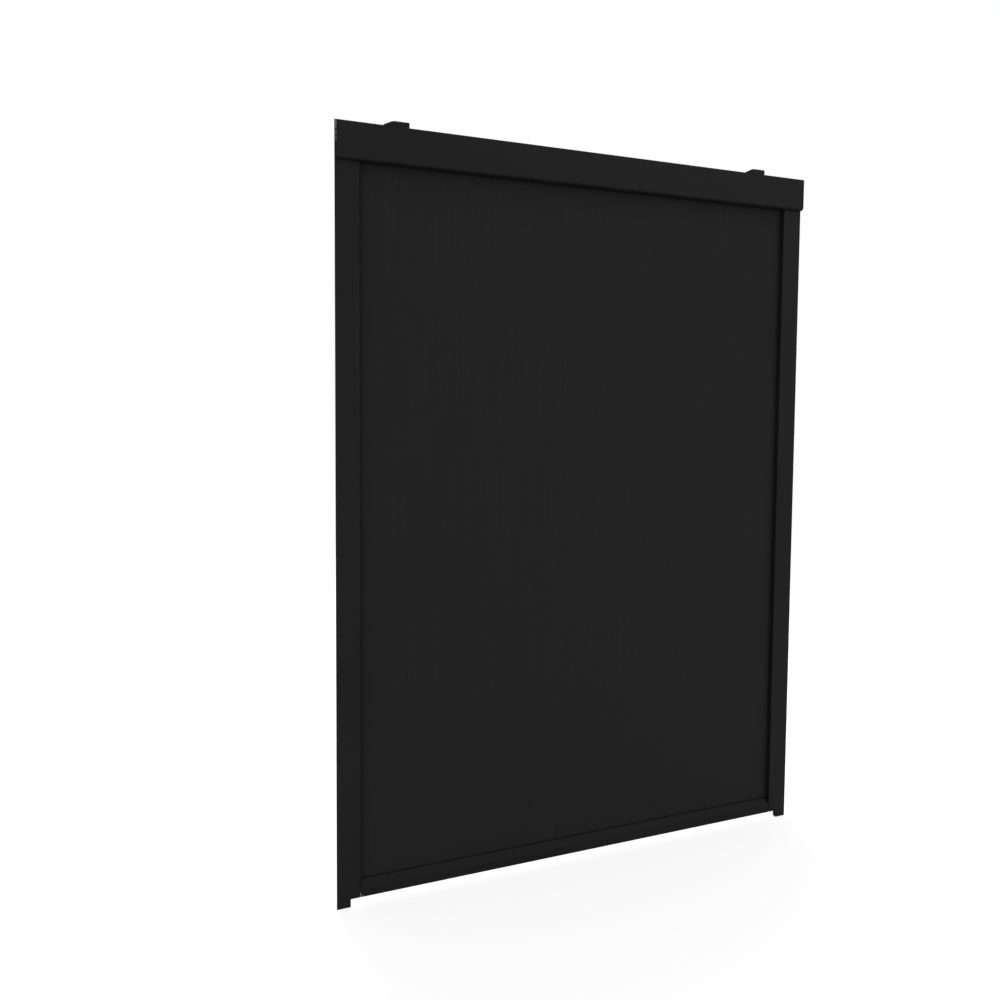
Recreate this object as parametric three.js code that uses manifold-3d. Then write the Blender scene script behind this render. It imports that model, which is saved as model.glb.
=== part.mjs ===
// A roll-down screen in a square headbox, with side channels, a hem bar and two top fixing clips.
// Millimetres. +X runs to the right, +Y to the back, +Z up. The origin is on the sill, under the
// middle of the headbox.

import * as THREE from 'three';
import { mergeVertices } from 'three/addons/utils/BufferGeometryUtils.js';
import Module from 'manifold-3d';

// ---------------------------------------------------------------- driving dimensions

const WIDTH = 1146;            // over the end caps, for an opening of 1150
const HEADBOX_TOP = 1660;      // above the sill
const HEADBOX_SIDE = 76;       // the headbox is as deep as it is tall
const WALL = 1.6;              // aluminium walls
const GAP = 0.3;               // between pieces that touch
const END_CAP = 3;             // thickness of an end cap
const EDGE = 0.5;              // chamfer on moulded edges

const CHANNEL_WIDTH = 50;      // across the front
const CHANNEL_DEPTH = 28;
const CHANNEL_FRONT = -28;     // 10 mm behind the headbox's front

const FOOT_WIDTH = 29;
const FOOT_HEIGHT = 18;
const FOOT_DEPTH = 9;
const FOOT_PLUG_TOP = 30;      // the stop that the hem bar's runners rest on

const FABRIC_Y = -14;          // the plane that the fabric hangs in
const FABRIC_THICKNESS = 0.5;
const FABRIC_HALF_WIDTH = 541;

const TUBE_RADIUS = 19;
const TUBE_WALL = 1.5;
const TUBE_HALF_LENGTH = 558;
const ROLLER_Y = 6.6;
const ROLLER_Z = 1618;

const HEM_HALF_LENGTH = 518;
const HEM_THICKNESS = 26;
const HEM_BOTTOM = 16;
const HEM_TOP = 50;

const CLIP_X = 438.5;          // from the middle to the middle of a clip
const CLIP_WIDTH = 34;
const CLIP_TOP = 1672;
const CLIP_SHEET = 1.2;
const CLIP_FRONT = -35.5;      // the clips stand clear of the headbox's rounded corner
const PIVOT_Y = -25;           // the clip lever's rivet

const CHANNEL_SCREW_HEIGHTS = [150, 600, 1050, 1500];

// ---------------------------------------------------------------- sizes that follow

const HALF_WIDTH = WIDTH / 2;
const HEADBOX_BOTTOM = HEADBOX_TOP - HEADBOX_SIDE;
const FRONT = -HEADBOX_SIDE / 2;
const BACK = HEADBOX_SIDE / 2;
const CAP_INNER = HALF_WIDTH - END_CAP;
const PROFILE_HALF_LENGTH = CAP_INNER - GAP;
const CHANNEL_OUTER = HALF_WIDTH;
const CHANNEL_BACK = CHANNEL_FRONT + CHANNEL_DEPTH;
const CHANNEL_TOP = HEADBOX_BOTTOM - GAP;
const HEM_FRONT = FABRIC_Y - HEM_THICKNESS / 2;
const HEM_BACK = FABRIC_Y + HEM_THICKNESS / 2;

// The top of the headbox is a shallow trough between two lips, which the clips hold on to.
const TOP_RADIUS = 2.5;        // the headbox's upper corners
const FRONT_RADIUS = 6;        // its lower front corner
const BACK_RADIUS = 3;         // its lower back corner
const TROUGH_FLOOR = HEADBOX_TOP - 10;
const LIP_EDGE = 30;           // the lips reach in to this distance from the middle plane
const LIP_UNDER = HEADBOX_TOP - WALL;

// Screws through each end cap run into three round ports in the back rail: [y, z].
const PORTS = [[32.5, 1589.6], [32.5, 1644.2], [-24, 1644.4]];
const PORT_RADIUS = 1.7;
const SCREW_RADIUS = 1.5;
const SCREW_LENGTH = 18;
const SCREW_HEAD_RADIUS = 3.5;
const SCREW_HEAD_HEIGHT = 2;

const SLOT_FRONT = -20;        // the slot in the headbox's floor, which the fabric leaves by
const SLOT_BACK = -8;
const SLOT_LIP_HEIGHT = 8;

// ---------------------------------------------------------------- materials

const finish = (color, roughness, metalness) =>
  new THREE.MeshStandardMaterial({ color, roughness, metalness });

const POWDER_COAT = finish(0x242424, 0.6, 0.3);
const BLACK_PLASTIC = finish(0x232323, 0.7, 0);
const SCREEN_FABRIC = finish(0x232323, 0.95, 0);
const BRUSH_PILE = finish(0x202020, 1, 0);
const BLACK_STEEL = finish(0x262626, 0.45, 0.8);
const MILL_ALUMINIUM = finish(0xb5b7b9, 0.4, 0.9);
const ZINC_STEEL = finish(0x9a9c9e, 0.35, 0.9);
const SEAL_RUBBER = finish(0x1d1d1d, 0.9, 0);

// ---------------------------------------------------------------- outlines

// Points of a closed outline. A point is [u, v] for a sharp corner, or [u, v, radius].
function roundedPoints(corners, stepsPerArc = 4) {
  const points = [];
  corners.forEach(([u, v, radius = 0], i) => {
    const corner = new THREE.Vector2(u, v);
    if (radius === 0) {
      points.push(corner);
      return;
    }
    const [pu, pv] = corners[(i + corners.length - 1) % corners.length];
    const [nu, nv] = corners[(i + 1) % corners.length];
    const back = new THREE.Vector2(pu, pv).sub(corner).normalize();
    const ahead = new THREE.Vector2(nu, nv).sub(corner).normalize();
    const half = Math.acos(back.dot(ahead)) / 2;
    const middle = back.clone().add(ahead).normalize();
    const centre = corner.clone().addScaledVector(middle, radius / Math.sin(half));
    const start = corner.clone().addScaledVector(back, radius / Math.tan(half)).sub(centre);
    const end = corner.clone().addScaledVector(ahead, radius / Math.tan(half)).sub(centre);
    const turn = Math.atan2(start.cross(end), start.dot(end));
    for (let k = 0; k <= stepsPerArc; k += 1) {
      const arm = start.clone().rotateAround(new THREE.Vector2(), (turn * k) / stepsPerArc);
      points.push(centre.clone().add(arm));
    }
  });
  return points;
}

function circlePoints(u, v, radius, sides) {
  const points = [];
  for (let k = 0; k < sides; k += 1) {
    const angle = (2 * Math.PI * k) / sides;
    points.push(new THREE.Vector2(u + radius * Math.cos(angle), v + radius * Math.sin(angle)));
  }
  return points;
}

const X = new THREE.Vector3(1, 0, 0);
const Y = new THREE.Vector3(0, 1, 0);
const Z = new THREE.Vector3(0, 0, 1);

// The outline's two directions and its run, for a prism along each axis.
const PRISM_AXES = {
  x: [Y, Z, X],                      // outline in (y, z)
  y: [X, Z, Y.clone().negate()],     // outline in (x, z), run from the higher y to the lower
  z: [X, Y, Z],                      // outline in (x, y)
};

function prism(axis, outline, from, to, { holes = [], chamfer = 0 } = {}) {
  const shape = new THREE.Shape(outline);
  shape.holes = holes.map((hole) => new THREE.Path(hole));
  const geometry = new THREE.ExtrudeGeometry(shape, {
    depth: to - from - 2 * chamfer,
    bevelEnabled: chamfer > 0,
    bevelThickness: chamfer,
    bevelSize: chamfer,
    bevelOffset: -chamfer,
    bevelSegments: 1,
  });
  const start = axis === 'y' ? -to : from;
  geometry.translate(0, 0, start + chamfer);
  return geometry.applyMatrix4(new THREE.Matrix4().makeBasis(...PRISM_AXES[axis]));
}

function block(x0, x1, y0, y1, z0, z1) {
  const geometry = new THREE.BoxGeometry(x1 - x0, y1 - y0, z1 - z0);
  return geometry.translate((x0 + x1) / 2, (y0 + y1) / 2, (z0 + z1) / 2);
}

// A turned piece: [radius, distance along the axis], starting and ending on the axis, or closed.
function turned(axis, profile, sides) {
  const geometry = new THREE.LatheGeometry(profile.map(([r, h]) => new THREE.Vector2(r, h)), sides);
  if (axis === 'x') geometry.rotateZ(-Math.PI / 2);
  if (axis === 'z') geometry.rotateX(Math.PI / 2);
  return geometry;
}

// ---------------------------------------------------------------- cutting and joining

const solids = await Module();
solids.setup();

function toSolid(geometry) {
  const bare = geometry.clone();
  bare.deleteAttribute('normal');
  bare.deleteAttribute('uv');
  const merged = mergeVertices(bare, 1e-4);
  return new solids.Manifold(new solids.Mesh({
    numProp: 3,
    vertProperties: Float32Array.from(merged.attributes.position.array),
    triVerts: Uint32Array.from(merged.index.array),
  }));
}

function toGeometry(solid) {
  const mesh = solid.getMesh();
  const geometry = new THREE.BufferGeometry();
  geometry.setAttribute('position', new THREE.BufferAttribute(mesh.vertProperties, 3));
  geometry.setIndex(new THREE.BufferAttribute(mesh.triVerts, 1));
  geometry.computeVertexNormals();
  return geometry;
}

function carve(base, { add = [], cut = [], keep = [] }) {
  let solid = toSolid(base);
  for (const piece of add) solid = solid.add(toSolid(piece));
  for (const piece of keep) solid = solid.intersect(toSolid(piece));
  for (const piece of cut) solid = solid.subtract(toSolid(piece));
  return toGeometry(solid);
}

// The same piece on the other side of the middle plane.
function mirrored(geometry) {
  const copy = geometry.clone();
  copy.scale(-1, 1, 1);
  if (!copy.index) {
    copy.setIndex([...Array(copy.attributes.position.count).keys()]);
  }
  const index = copy.index.array;
  for (let i = 0; i < index.length; i += 3) {
    [index[i], index[i + 1]] = [index[i + 1], index[i]];
  }
  copy.computeVertexNormals();
  return copy;
}

const SIDES = ['left', 'right'];
const onSide = (side, rightGeometry) => (side === 'right' ? rightGeometry : mirrored(rightGeometry));

// ---------------------------------------------------------------- the model

const screen = new THREE.Group();

function addPiece(name, geometry, material, parent = screen) {
  const piece = new THREE.Mesh(geometry, material);
  piece.name = name;
  parent.add(piece);
  return piece;
}

// ---------------------------------------------------------------- headbox

// The front cover is a C in section: front wall, top lip, a ledge for the back rail, and the
// front edge of the slot in the floor.
function frontCover() {
  const inner = FRONT + WALL;
  const outline = roundedPoints([
    [-LIP_EDGE, HEADBOX_TOP],
    [FRONT, HEADBOX_TOP, TOP_RADIUS],
    [FRONT, HEADBOX_BOTTOM, FRONT_RADIUS],
    [SLOT_FRONT, HEADBOX_BOTTOM, 1],
    [SLOT_FRONT, HEADBOX_BOTTOM + SLOT_LIP_HEIGHT],
    [SLOT_FRONT - WALL, HEADBOX_BOTTOM + SLOT_LIP_HEIGHT],
    [SLOT_FRONT - WALL, HEADBOX_BOTTOM + WALL],
    [inner, HEADBOX_BOTTOM + WALL, FRONT_RADIUS - WALL],
    [inner, TROUGH_FLOOR - 2 * WALL - GAP],
    [-LIP_EDGE, TROUGH_FLOOR - 2 * WALL - GAP],
    [-LIP_EDGE, TROUGH_FLOOR - WALL - GAP],
    [inner, TROUGH_FLOOR - WALL - GAP],
    [inner, LIP_UNDER],
    [-LIP_EDGE, LIP_UNDER],
  ]);
  return prism('x', outline, -PROFILE_HALF_LENGTH, PROFILE_HALF_LENGTH);
}

// The back rail carries everything: trough floor, rear lip, back wall and floor, with blocks for
// the three screw ports.
function backRail() {
  const innerBack = BACK - WALL;
  const innerFloor = HEADBOX_BOTTOM + WALL;
  const underTrough = TROUGH_FLOOR - WALL;
  const frontEnd = FRONT + WALL + GAP;
  const portBlock = 9;
  const frontBlock = { front: -28, back: -20, bottom: underTrough - 8 };
  const outline = roundedPoints([
    [frontEnd, TROUGH_FLOOR],
    [innerBack, TROUGH_FLOOR],
    [innerBack, LIP_UNDER],
    [LIP_EDGE, LIP_UNDER],
    [LIP_EDGE, HEADBOX_TOP],
    [BACK, HEADBOX_TOP, TOP_RADIUS],
    [BACK, HEADBOX_BOTTOM, BACK_RADIUS],
    [SLOT_BACK, HEADBOX_BOTTOM, 1],
    [SLOT_BACK, HEADBOX_BOTTOM + SLOT_LIP_HEIGHT],
    [SLOT_BACK + WALL, HEADBOX_BOTTOM + SLOT_LIP_HEIGHT],
    [SLOT_BACK + WALL, innerFloor],
    [innerBack - portBlock, innerFloor],
    [innerBack - portBlock, innerFloor + portBlock, 2],
    [innerBack, innerFloor + portBlock],
    [innerBack, underTrough - portBlock],
    [innerBack - portBlock, underTrough - portBlock, 2],
    [innerBack - portBlock, underTrough],
    [frontBlock.back, underTrough],
    [frontBlock.back, frontBlock.bottom, 2],
    [frontBlock.front, frontBlock.bottom, 2],
    [frontBlock.front, underTrough],
    [frontEnd, underTrough],
  ]);
  const ports = PORTS.map(([y, z]) => circlePoints(y, z, PORT_RADIUS, 16));
  return prism('x', outline, -PROFILE_HALF_LENGTH, PROFILE_HALF_LENGTH, { holes: ports });
}

// The cap closes the headbox's end. Inside it has a boss for the roller, a lug for the front
// cover's lower corner, and a tongue that drops into the top of the side channel.
const BOSS_RADIUS = 14;
const BOSS_FACE = CAP_INNER - 6.3;
const SOCKET_FLOOR = HALF_WIDTH - 1.7;
const SHAFT_SIDE = 8;
const PIN_RADIUS = 4;
const TONGUE = { inner: 551, outer: 563, bottom: 1572, top: 1604 };
const BITE = 1;                // shapes are joined by running this far into each other

function endCap(side) {
  const plate = prism('x', roundedPoints([
    [FRONT, HEADBOX_TOP, TOP_RADIUS],
    [FRONT, HEADBOX_BOTTOM, FRONT_RADIUS],
    [BACK, HEADBOX_BOTTOM, BACK_RADIUS],
    [BACK, HEADBOX_TOP, TOP_RADIUS],
  ]), CAP_INNER, HALF_WIDTH, { chamfer: EDGE });
  const root = CAP_INNER + BITE;
  const boss = prism('x', circlePoints(ROLLER_Y, ROLLER_Z, BOSS_RADIUS, 28), BOSS_FACE, root);
  const [tongueFront, tongueBack] = [SLOT_FRONT + 0.6, SLOT_BACK - 0.6];
  const arm = block(TONGUE.inner, root, tongueFront, tongueBack, HEADBOX_BOTTOM + GAP, TONGUE.top);
  const tongue = block(
    TONGUE.inner, TONGUE.outer, tongueFront, tongueBack, TONGUE.bottom, HEADBOX_BOTTOM + 4,
  );
  const lug = block(
    CAP_INNER - 6, root, FRONT + WALL + 0.5, FRONT + 8, HEADBOX_BOTTOM + 6.5, HEADBOX_BOTTOM + 16,
  );
  const half = SHAFT_SIDE / 2 + GAP;
  const socketFace = BOSS_FACE - BITE;
  const socket = side === 'left'
    ? block(socketFace, SOCKET_FLOOR, ROLLER_Y - half, ROLLER_Y + half, ROLLER_Z - half, ROLLER_Z + half)
    : prism('x', circlePoints(ROLLER_Y, ROLLER_Z, PIN_RADIUS + GAP, 24), socketFace, SOCKET_FLOOR);
  const shank = SCREW_RADIUS + 0.4;
  const head = SCREW_HEAD_RADIUS + 0.6;
  const countersinks = PORTS.map(([y, z]) => turned('x', [
    [0, CAP_INNER - BITE],
    [shank, CAP_INNER - BITE],
    [shank, HALF_WIDTH + shank - head + 0.1],
    [head, HALF_WIDTH + 0.1],
    [0, HALF_WIDTH + 0.1],
  ], 16).translate(0, y, z));
  return onSide(side, carve(plate, { add: [boss, arm, tongue, lug], cut: [socket, ...countersinks] }));
}

// A countersunk screw with a cross recess, seated in the cap and reaching into its port.
function endCapScrew([y, z]) {
  const face = HALF_WIDTH - 0.1;
  const tip = face - SCREW_LENGTH;
  const screw = turned('x', [
    [0, tip],
    [SCREW_RADIUS - 0.5, tip],
    [SCREW_RADIUS, tip + 1],
    [SCREW_RADIUS, face - SCREW_HEAD_HEIGHT - 0.3],
    [SCREW_HEAD_RADIUS, face],
    [0, face],
  ], 16);
  const [long, narrow, deep] = [2.1, 0.4, 1.1];
  const recess = [
    block(face - deep, face + 1, -long, long, -narrow, narrow),
    block(face - deep, face + 1, -narrow, narrow, -long, long),
  ];
  return carve(screw, { cut: recess }).translate(0, y, z);
}

function addHeadbox() {
  addPiece('headbox_front_cover', frontCover(), POWDER_COAT);
  addPiece('headbox_back_rail', backRail(), POWDER_COAT);
  for (const side of SIDES) {
    addPiece(`end_cap_${side}`, endCap(side), BLACK_PLASTIC);
    PORTS.forEach((port, i) => {
      addPiece(`end_cap_screw_${side}_${i + 1}`, onSide(side, endCapScrew(port)), BLACK_STEEL);
    });
  }
}

// ---------------------------------------------------------------- roller

const KEY_WIDTH = 10;          // the tube's groove, folded inwards, also turns the two plugs
const KEY_BOTTOM = 14.5;
const GROOVE_WIDTH = 7;
const GROOVE_BOTTOM = 16;

// A circle with a flat-bottomed notch at the top, centred on the roller's axis: [y, z].
function notchedCircle(radius, notchWidth, notchBottom, sides) {
  const half = notchWidth / 2;
  const edge = Math.asin(half / radius);
  const first = Math.PI / 2 + edge;
  const sweep = 2 * Math.PI - 2 * edge;
  const points = [];
  for (let k = 0; k <= sides; k += 1) {
    const angle = first + (sweep * k) / sides;
    points.push(new THREE.Vector2(radius * Math.cos(angle), radius * Math.sin(angle)));
  }
  points.push(new THREE.Vector2(half, notchBottom), new THREE.Vector2(-half, notchBottom));
  return points;
}

function rollerTube() {
  const outside = notchedCircle(TUBE_RADIUS, GROOVE_WIDTH, GROOVE_BOTTOM, 44);
  const inside = notchedCircle(TUBE_RADIUS - TUBE_WALL, KEY_WIDTH, KEY_BOTTOM, 44);
  return prism('x', outside, -TUBE_HALF_LENGTH, TUBE_HALF_LENGTH, { holes: [inside] });
}

const PLUG_LENGTH = 30;
const PLUG_FLANGE = 3;

// A flanged plug for one end of the tube, with a keyway for the groove.
function rollerPlug(boreRadius, length) {
  const body = TUBE_RADIUS - TUBE_WALL - GAP;
  const shoulder = TUBE_HALF_LENGTH + GAP;
  const start = shoulder - length;
  const end = shoulder + PLUG_FLANGE;
  const edge = 0.6;
  const plug = turned('x', [
    [boreRadius, start],
    [body - 1, start],
    [body, start + 1],
    [body, shoulder],
    [TUBE_RADIUS, shoulder],
    [TUBE_RADIUS, end - edge],
    [TUBE_RADIUS - edge, end],
    [boreRadius, end],
    [boreRadius, start],
  ], 28);
  const half = KEY_WIDTH / 2 + GAP;
  const keyway = block(start - 1, shoulder, -half, half, KEY_BOTTOM - GAP, TUBE_RADIUS + 1);
  return carve(plug, { cut: [keyway] });
}

class Helix extends THREE.Curve {
  constructor(radius, start, end, turns) {
    super();
    Object.assign(this, { radius, start, end, turns });
  }

  getPoint(t, target = new THREE.Vector3()) {
    const angle = 2 * Math.PI * this.turns * t;
    const along = this.start + (this.end - this.start) * t;
    return target.set(along, this.radius * Math.cos(angle), this.radius * Math.sin(angle));
  }
}

const ANCHOR_START = -262;     // the spring's fixed end, on the shaft
const ANCHOR_LENGTH = 14;
const ANCHOR_RADIUS = 11;
const SHAFT_BORE = 6.1;        // the square shaft turns in this round bore
const SPRING_RADIUS = 9;
const SPRING_WIRE = 1.2;       // radius
const SPRING_TURNS = 14;

function springWire() {
  const start = -TUBE_HALF_LENGTH + PLUG_LENGTH + 4;
  const path = new Helix(SPRING_RADIUS, start, ANCHOR_START - 3, SPRING_TURNS);
  const steps = SPRING_TURNS * 9;
  path.arcLengthDivisions = steps * 4;
  const section = new THREE.Shape(circlePoints(0, 0, SPRING_WIRE, 5));
  return new THREE.ExtrudeGeometry(section, { steps, extrudePath: path, bevelEnabled: false });
}

function squarePoints(half, radius) {
  return roundedPoints([
    [-half, -half, radius],
    [half, -half, radius],
    [half, half, radius],
    [-half, half, radius],
  ], 2);
}

function springShaft() {
  const outline = squarePoints(SHAFT_SIDE / 2, 0.8);
  return prism('x', outline, -SOCKET_FLOOR + GAP, ANCHOR_START + ANCHOR_LENGTH + 10);
}

function springAnchor() {
  const hole = squarePoints(SHAFT_SIDE / 2 + GAP, 0);
  const disc = circlePoints(0, 0, ANCHOR_RADIUS, 24);
  return prism('x', disc, ANCHOR_START, ANCHOR_START + ANCHOR_LENGTH, { holes: [hole] });
}

function idlerPin() {
  const start = TUBE_HALF_LENGTH - 26;
  const end = SOCKET_FLOOR - GAP;
  return turned('x', [
    [0, start],
    [PIN_RADIUS - 1, start],
    [PIN_RADIUS, start + 1],
    [PIN_RADIUS, end],
    [0, end],
  ], 24);
}

function woundFabric() {
  const inner = TUBE_RADIUS + GAP;
  const outer = inner + 0.7;
  const half = FABRIC_HALF_WIDTH;
  return prism('x', circlePoints(0, 0, outer, 48), -half, half, { holes: [circlePoints(0, 0, inner, 48)] });
}

function addRoller() {
  const axis = new THREE.Group();
  axis.position.set(0, ROLLER_Y, ROLLER_Z);
  screen.add(axis);
  const strip = GROOVE_WIDTH / 2 - GAP;
  addPiece('roller_tube', rollerTube(), MILL_ALUMINIUM, axis);
  addPiece('roller_spring_plug', mirrored(rollerPlug(SHAFT_BORE, PLUG_LENGTH)), BLACK_PLASTIC, axis);
  addPiece('roller_idler_plug', rollerPlug(PIN_RADIUS + GAP, PLUG_LENGTH), BLACK_PLASTIC, axis);
  addPiece('roller_spring', springWire(), ZINC_STEEL, axis);
  addPiece('roller_spring_shaft', springShaft(), ZINC_STEEL, axis);
  addPiece('roller_spring_anchor', springAnchor(), BLACK_PLASTIC, axis);
  addPiece('roller_idler_pin', idlerPin(), ZINC_STEEL, axis);
  addPiece('fabric_wound', woundFabric(), SCREEN_FABRIC, axis);
  addPiece('fabric_lock_strip', block(
    -FABRIC_HALF_WIDTH, FABRIC_HALF_WIDTH, -strip, strip, GROOVE_BOTTOM + GAP, TUBE_RADIUS - GAP,
  ), BLACK_PLASTIC, axis);
}

// ---------------------------------------------------------------- fabric and hem bar

const HEM_SLOT_HALF = 1.4;     // the slot in the hem bar's top, which the fabric goes down into
const HEM_POCKET_HALF = 4;
const HEM_POCKET_BOTTOM = 38;
const HEM_POCKET_TOP = 45;
const HEM_CORNER = 2;          // radii of the bar's lower corners, shoulders and top edges
const HEM_SHOULDER = 5;
const HEM_RIDGE = 1;
const HEM_RIDGE_HALF = 3;
const SEAL_SLOT_HALF = 2.2;    // the groove for the seal, in the bar's underside
const SEAL_GROOVE_HALF = 4;
const SEAL_GROOVE_TOP = HEM_BOTTOM + 4;
const HEM_CAVITY = { front: HEM_FRONT + WALL, back: HEM_BACK - WALL, bottom: 21.6, top: 36.4 };
const BALLAST_HALF_LENGTH = 450;
const BALLAST_TOP = 28;
const RUNNER = { inner: 547, outer: 562, half: 6 };
const RUNNER_NECK = 4.6;
const NECK_TOP = 43;           // the fabric's lower corners pass over the necks

function fabricPanel() {
  const half = FABRIC_THICKNESS / 2;
  const bottom = HEM_POCKET_TOP - GAP;
  return block(-FABRIC_HALF_WIDTH, FABRIC_HALF_WIDTH, FABRIC_Y - half, FABRIC_Y + half, bottom, ROLLER_Z);
}

// The bar's outside in section, up the back and down the front.
const HEM_BACK_SIDE = [
  [HEM_BACK, HEM_BOTTOM, HEM_CORNER],
  [HEM_BACK, HEM_POCKET_BOTTOM, HEM_SHOULDER],
  [FABRIC_Y + HEM_RIDGE_HALF, HEM_TOP, HEM_RIDGE],
];
const HEM_FRONT_SIDE = [
  [FABRIC_Y - HEM_RIDGE_HALF, HEM_TOP, HEM_RIDGE],
  [HEM_FRONT, HEM_POCKET_BOTTOM, HEM_SHOULDER],
  [HEM_FRONT, HEM_BOTTOM, HEM_CORNER],
];

function hemBar() {
  const lip = HEM_BOTTOM + WALL;
  const outline = roundedPoints([
    [FABRIC_Y - SEAL_SLOT_HALF, HEM_BOTTOM],
    [FABRIC_Y - SEAL_SLOT_HALF, lip],
    [FABRIC_Y - SEAL_GROOVE_HALF, lip],
    [FABRIC_Y - SEAL_GROOVE_HALF, SEAL_GROOVE_TOP],
    [FABRIC_Y + SEAL_GROOVE_HALF, SEAL_GROOVE_TOP],
    [FABRIC_Y + SEAL_GROOVE_HALF, lip],
    [FABRIC_Y + SEAL_SLOT_HALF, lip],
    [FABRIC_Y + SEAL_SLOT_HALF, HEM_BOTTOM],
    ...HEM_BACK_SIDE,
    [FABRIC_Y + HEM_SLOT_HALF, HEM_TOP],
    [FABRIC_Y + HEM_SLOT_HALF, HEM_POCKET_TOP],
    [FABRIC_Y + HEM_POCKET_HALF, HEM_POCKET_TOP],
    [FABRIC_Y + HEM_POCKET_HALF, HEM_POCKET_BOTTOM],
    [FABRIC_Y - HEM_POCKET_HALF, HEM_POCKET_BOTTOM],
    [FABRIC_Y - HEM_POCKET_HALF, HEM_POCKET_TOP],
    [FABRIC_Y - HEM_SLOT_HALF, HEM_POCKET_TOP],
    [FABRIC_Y - HEM_SLOT_HALF, HEM_TOP],
    ...HEM_FRONT_SIDE,
  ]);
  const { front, back, bottom, top } = HEM_CAVITY;
  const cavity = roundedPoints([[front, bottom], [back, bottom], [back, top], [front, top]]);
  return prism('x', outline, -HEM_HALF_LENGTH, HEM_HALF_LENGTH, { holes: [cavity] });
}

// The bar's end cap, with a peg in the bar and a thin neck out to the runner in the channel.
function hemBarEnd(side) {
  const start = HEM_HALF_LENGTH + GAP;
  const end = CHANNEL_OUTER - CHANNEL_WIDTH - 0.5;
  const plate = prism('x', roundedPoints([...HEM_BACK_SIDE, ...HEM_FRONT_SIDE]), start, end);
  const { front, back, top } = HEM_CAVITY;
  const pegLength = 18;
  const peg = block(
    start - pegLength, start + BITE, front + GAP, back - GAP, BALLAST_TOP + 2 * GAP, top - GAP,
  );
  const half = RUNNER_NECK / 2;
  const neck = block(
    end - BITE, RUNNER.inner + BITE, FABRIC_Y - half, FABRIC_Y + half, HEM_BOTTOM + 2, NECK_TOP,
  );
  const slot = block(
    start - 1, end + 1, FABRIC_Y - HEM_SLOT_HALF, FABRIC_Y + HEM_SLOT_HALF, NECK_TOP, HEM_TOP + 1,
  );
  const runner = prism('y', roundedPoints([
    [RUNNER.inner, FOOT_PLUG_TOP + GAP, 1],
    [RUNNER.outer, FOOT_PLUG_TOP + GAP, 2],
    [RUNNER.outer, HEM_TOP, 2],
    [RUNNER.inner, HEM_TOP, 1],
  ]), FABRIC_Y - RUNNER.half, FABRIC_Y + RUNNER.half, { chamfer: EDGE });
  return onSide(side, carve(plate, { add: [peg, neck, runner], cut: [slot] }));
}

// A bulb seal hung in the groove under the bar.
function hemBarSeal() {
  const root = HEM_BOTTOM + WALL + GAP;
  const [bulbRadius, rubber] = [4, 1.4];
  const bulbZ = HEM_BOTTOM - bulbRadius - 0.5;
  const half = HEM_HALF_LENGTH - 1;
  const stem = SEAL_SLOT_HALF - 2 * GAP;
  const flange = SEAL_GROOVE_HALF - GAP;
  const flangeTop = SEAL_GROOVE_TOP - GAP;
  const head = prism('x', roundedPoints([
    [FABRIC_Y - flange, root],
    [FABRIC_Y - stem, root],
    [FABRIC_Y - stem, bulbZ + 2],
    [FABRIC_Y + stem, bulbZ + 2],
    [FABRIC_Y + stem, root],
    [FABRIC_Y + flange, root],
    [FABRIC_Y + flange, flangeTop],
    [FABRIC_Y - flange, flangeTop],
  ]), -half, half);
  const bulb = prism('x', circlePoints(FABRIC_Y, bulbZ, bulbRadius, 20), -half, half);
  const hollow = prism('x', circlePoints(FABRIC_Y, bulbZ, bulbRadius - rubber, 16), -half - 1, half + 1);
  return carve(head, { add: [bulb], cut: [hollow] });
}

function addFabricAndHemBar() {
  addPiece('fabric_panel', fabricPanel(), SCREEN_FABRIC);
  addPiece('hem_bar', hemBar(), POWDER_COAT);
  for (const side of SIDES) {
    addPiece(`hem_bar_end_${side}`, hemBarEnd(side), BLACK_PLASTIC);
  }
  const aside = 1.4;           // clear of the bar's walls
  const [front, back] = [HEM_CAVITY.front + aside, HEM_CAVITY.back - aside];
  const ballast = prism('x', roundedPoints([
    [front, HEM_CAVITY.bottom + GAP, 0.8],
    [back, HEM_CAVITY.bottom + GAP, 0.8],
    [back, BALLAST_TOP, 0.8],
    [front, BALLAST_TOP, 0.8],
  ], 2), -BALLAST_HALF_LENGTH, BALLAST_HALF_LENGTH);
  addPiece('hem_bar_ballast', ballast, ZINC_STEEL);
  addPiece('hem_bar_seal', hemBarSeal(), SEAL_RUBBER);
  const rodRadius = 2.8;
  const rod = circlePoints(FABRIC_Y, HEM_POCKET_BOTTOM + rodRadius + 0.4, rodRadius, 16);
  addPiece('hem_fabric_rod', prism('x', rod, -HEM_HALF_LENGTH + 4, HEM_HALF_LENGTH - 4), BLACK_PLASTIC);
}

// ---------------------------------------------------------------- side channels

// Sections of the right channel are drawn as [s, y], where s is the distance in from the outer
// face, and placed by this.
const fromOuter = (points) => points.map(([s, y, radius]) => [CHANNEL_OUTER - s, y, radius]);

// The pocket for a brush at the mouth of the channel: a groove for the brush's backing, with a
// narrower mouth between two lips for its pile. All but the last two are distances from the
// outer face; those are heights above the wall.
const POCKET = {
  near: CHANNEL_WIDTH - 1.4,
  lipNear: CHANNEL_WIDTH - 2.4,
  lipFar: CHANNEL_WIDTH - 5.6,
  far: CHANNEL_WIDTH - 6.6,
  end: CHANNEL_WIDTH - 8,
  lip: 2.9,
  top: 4,
};

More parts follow.
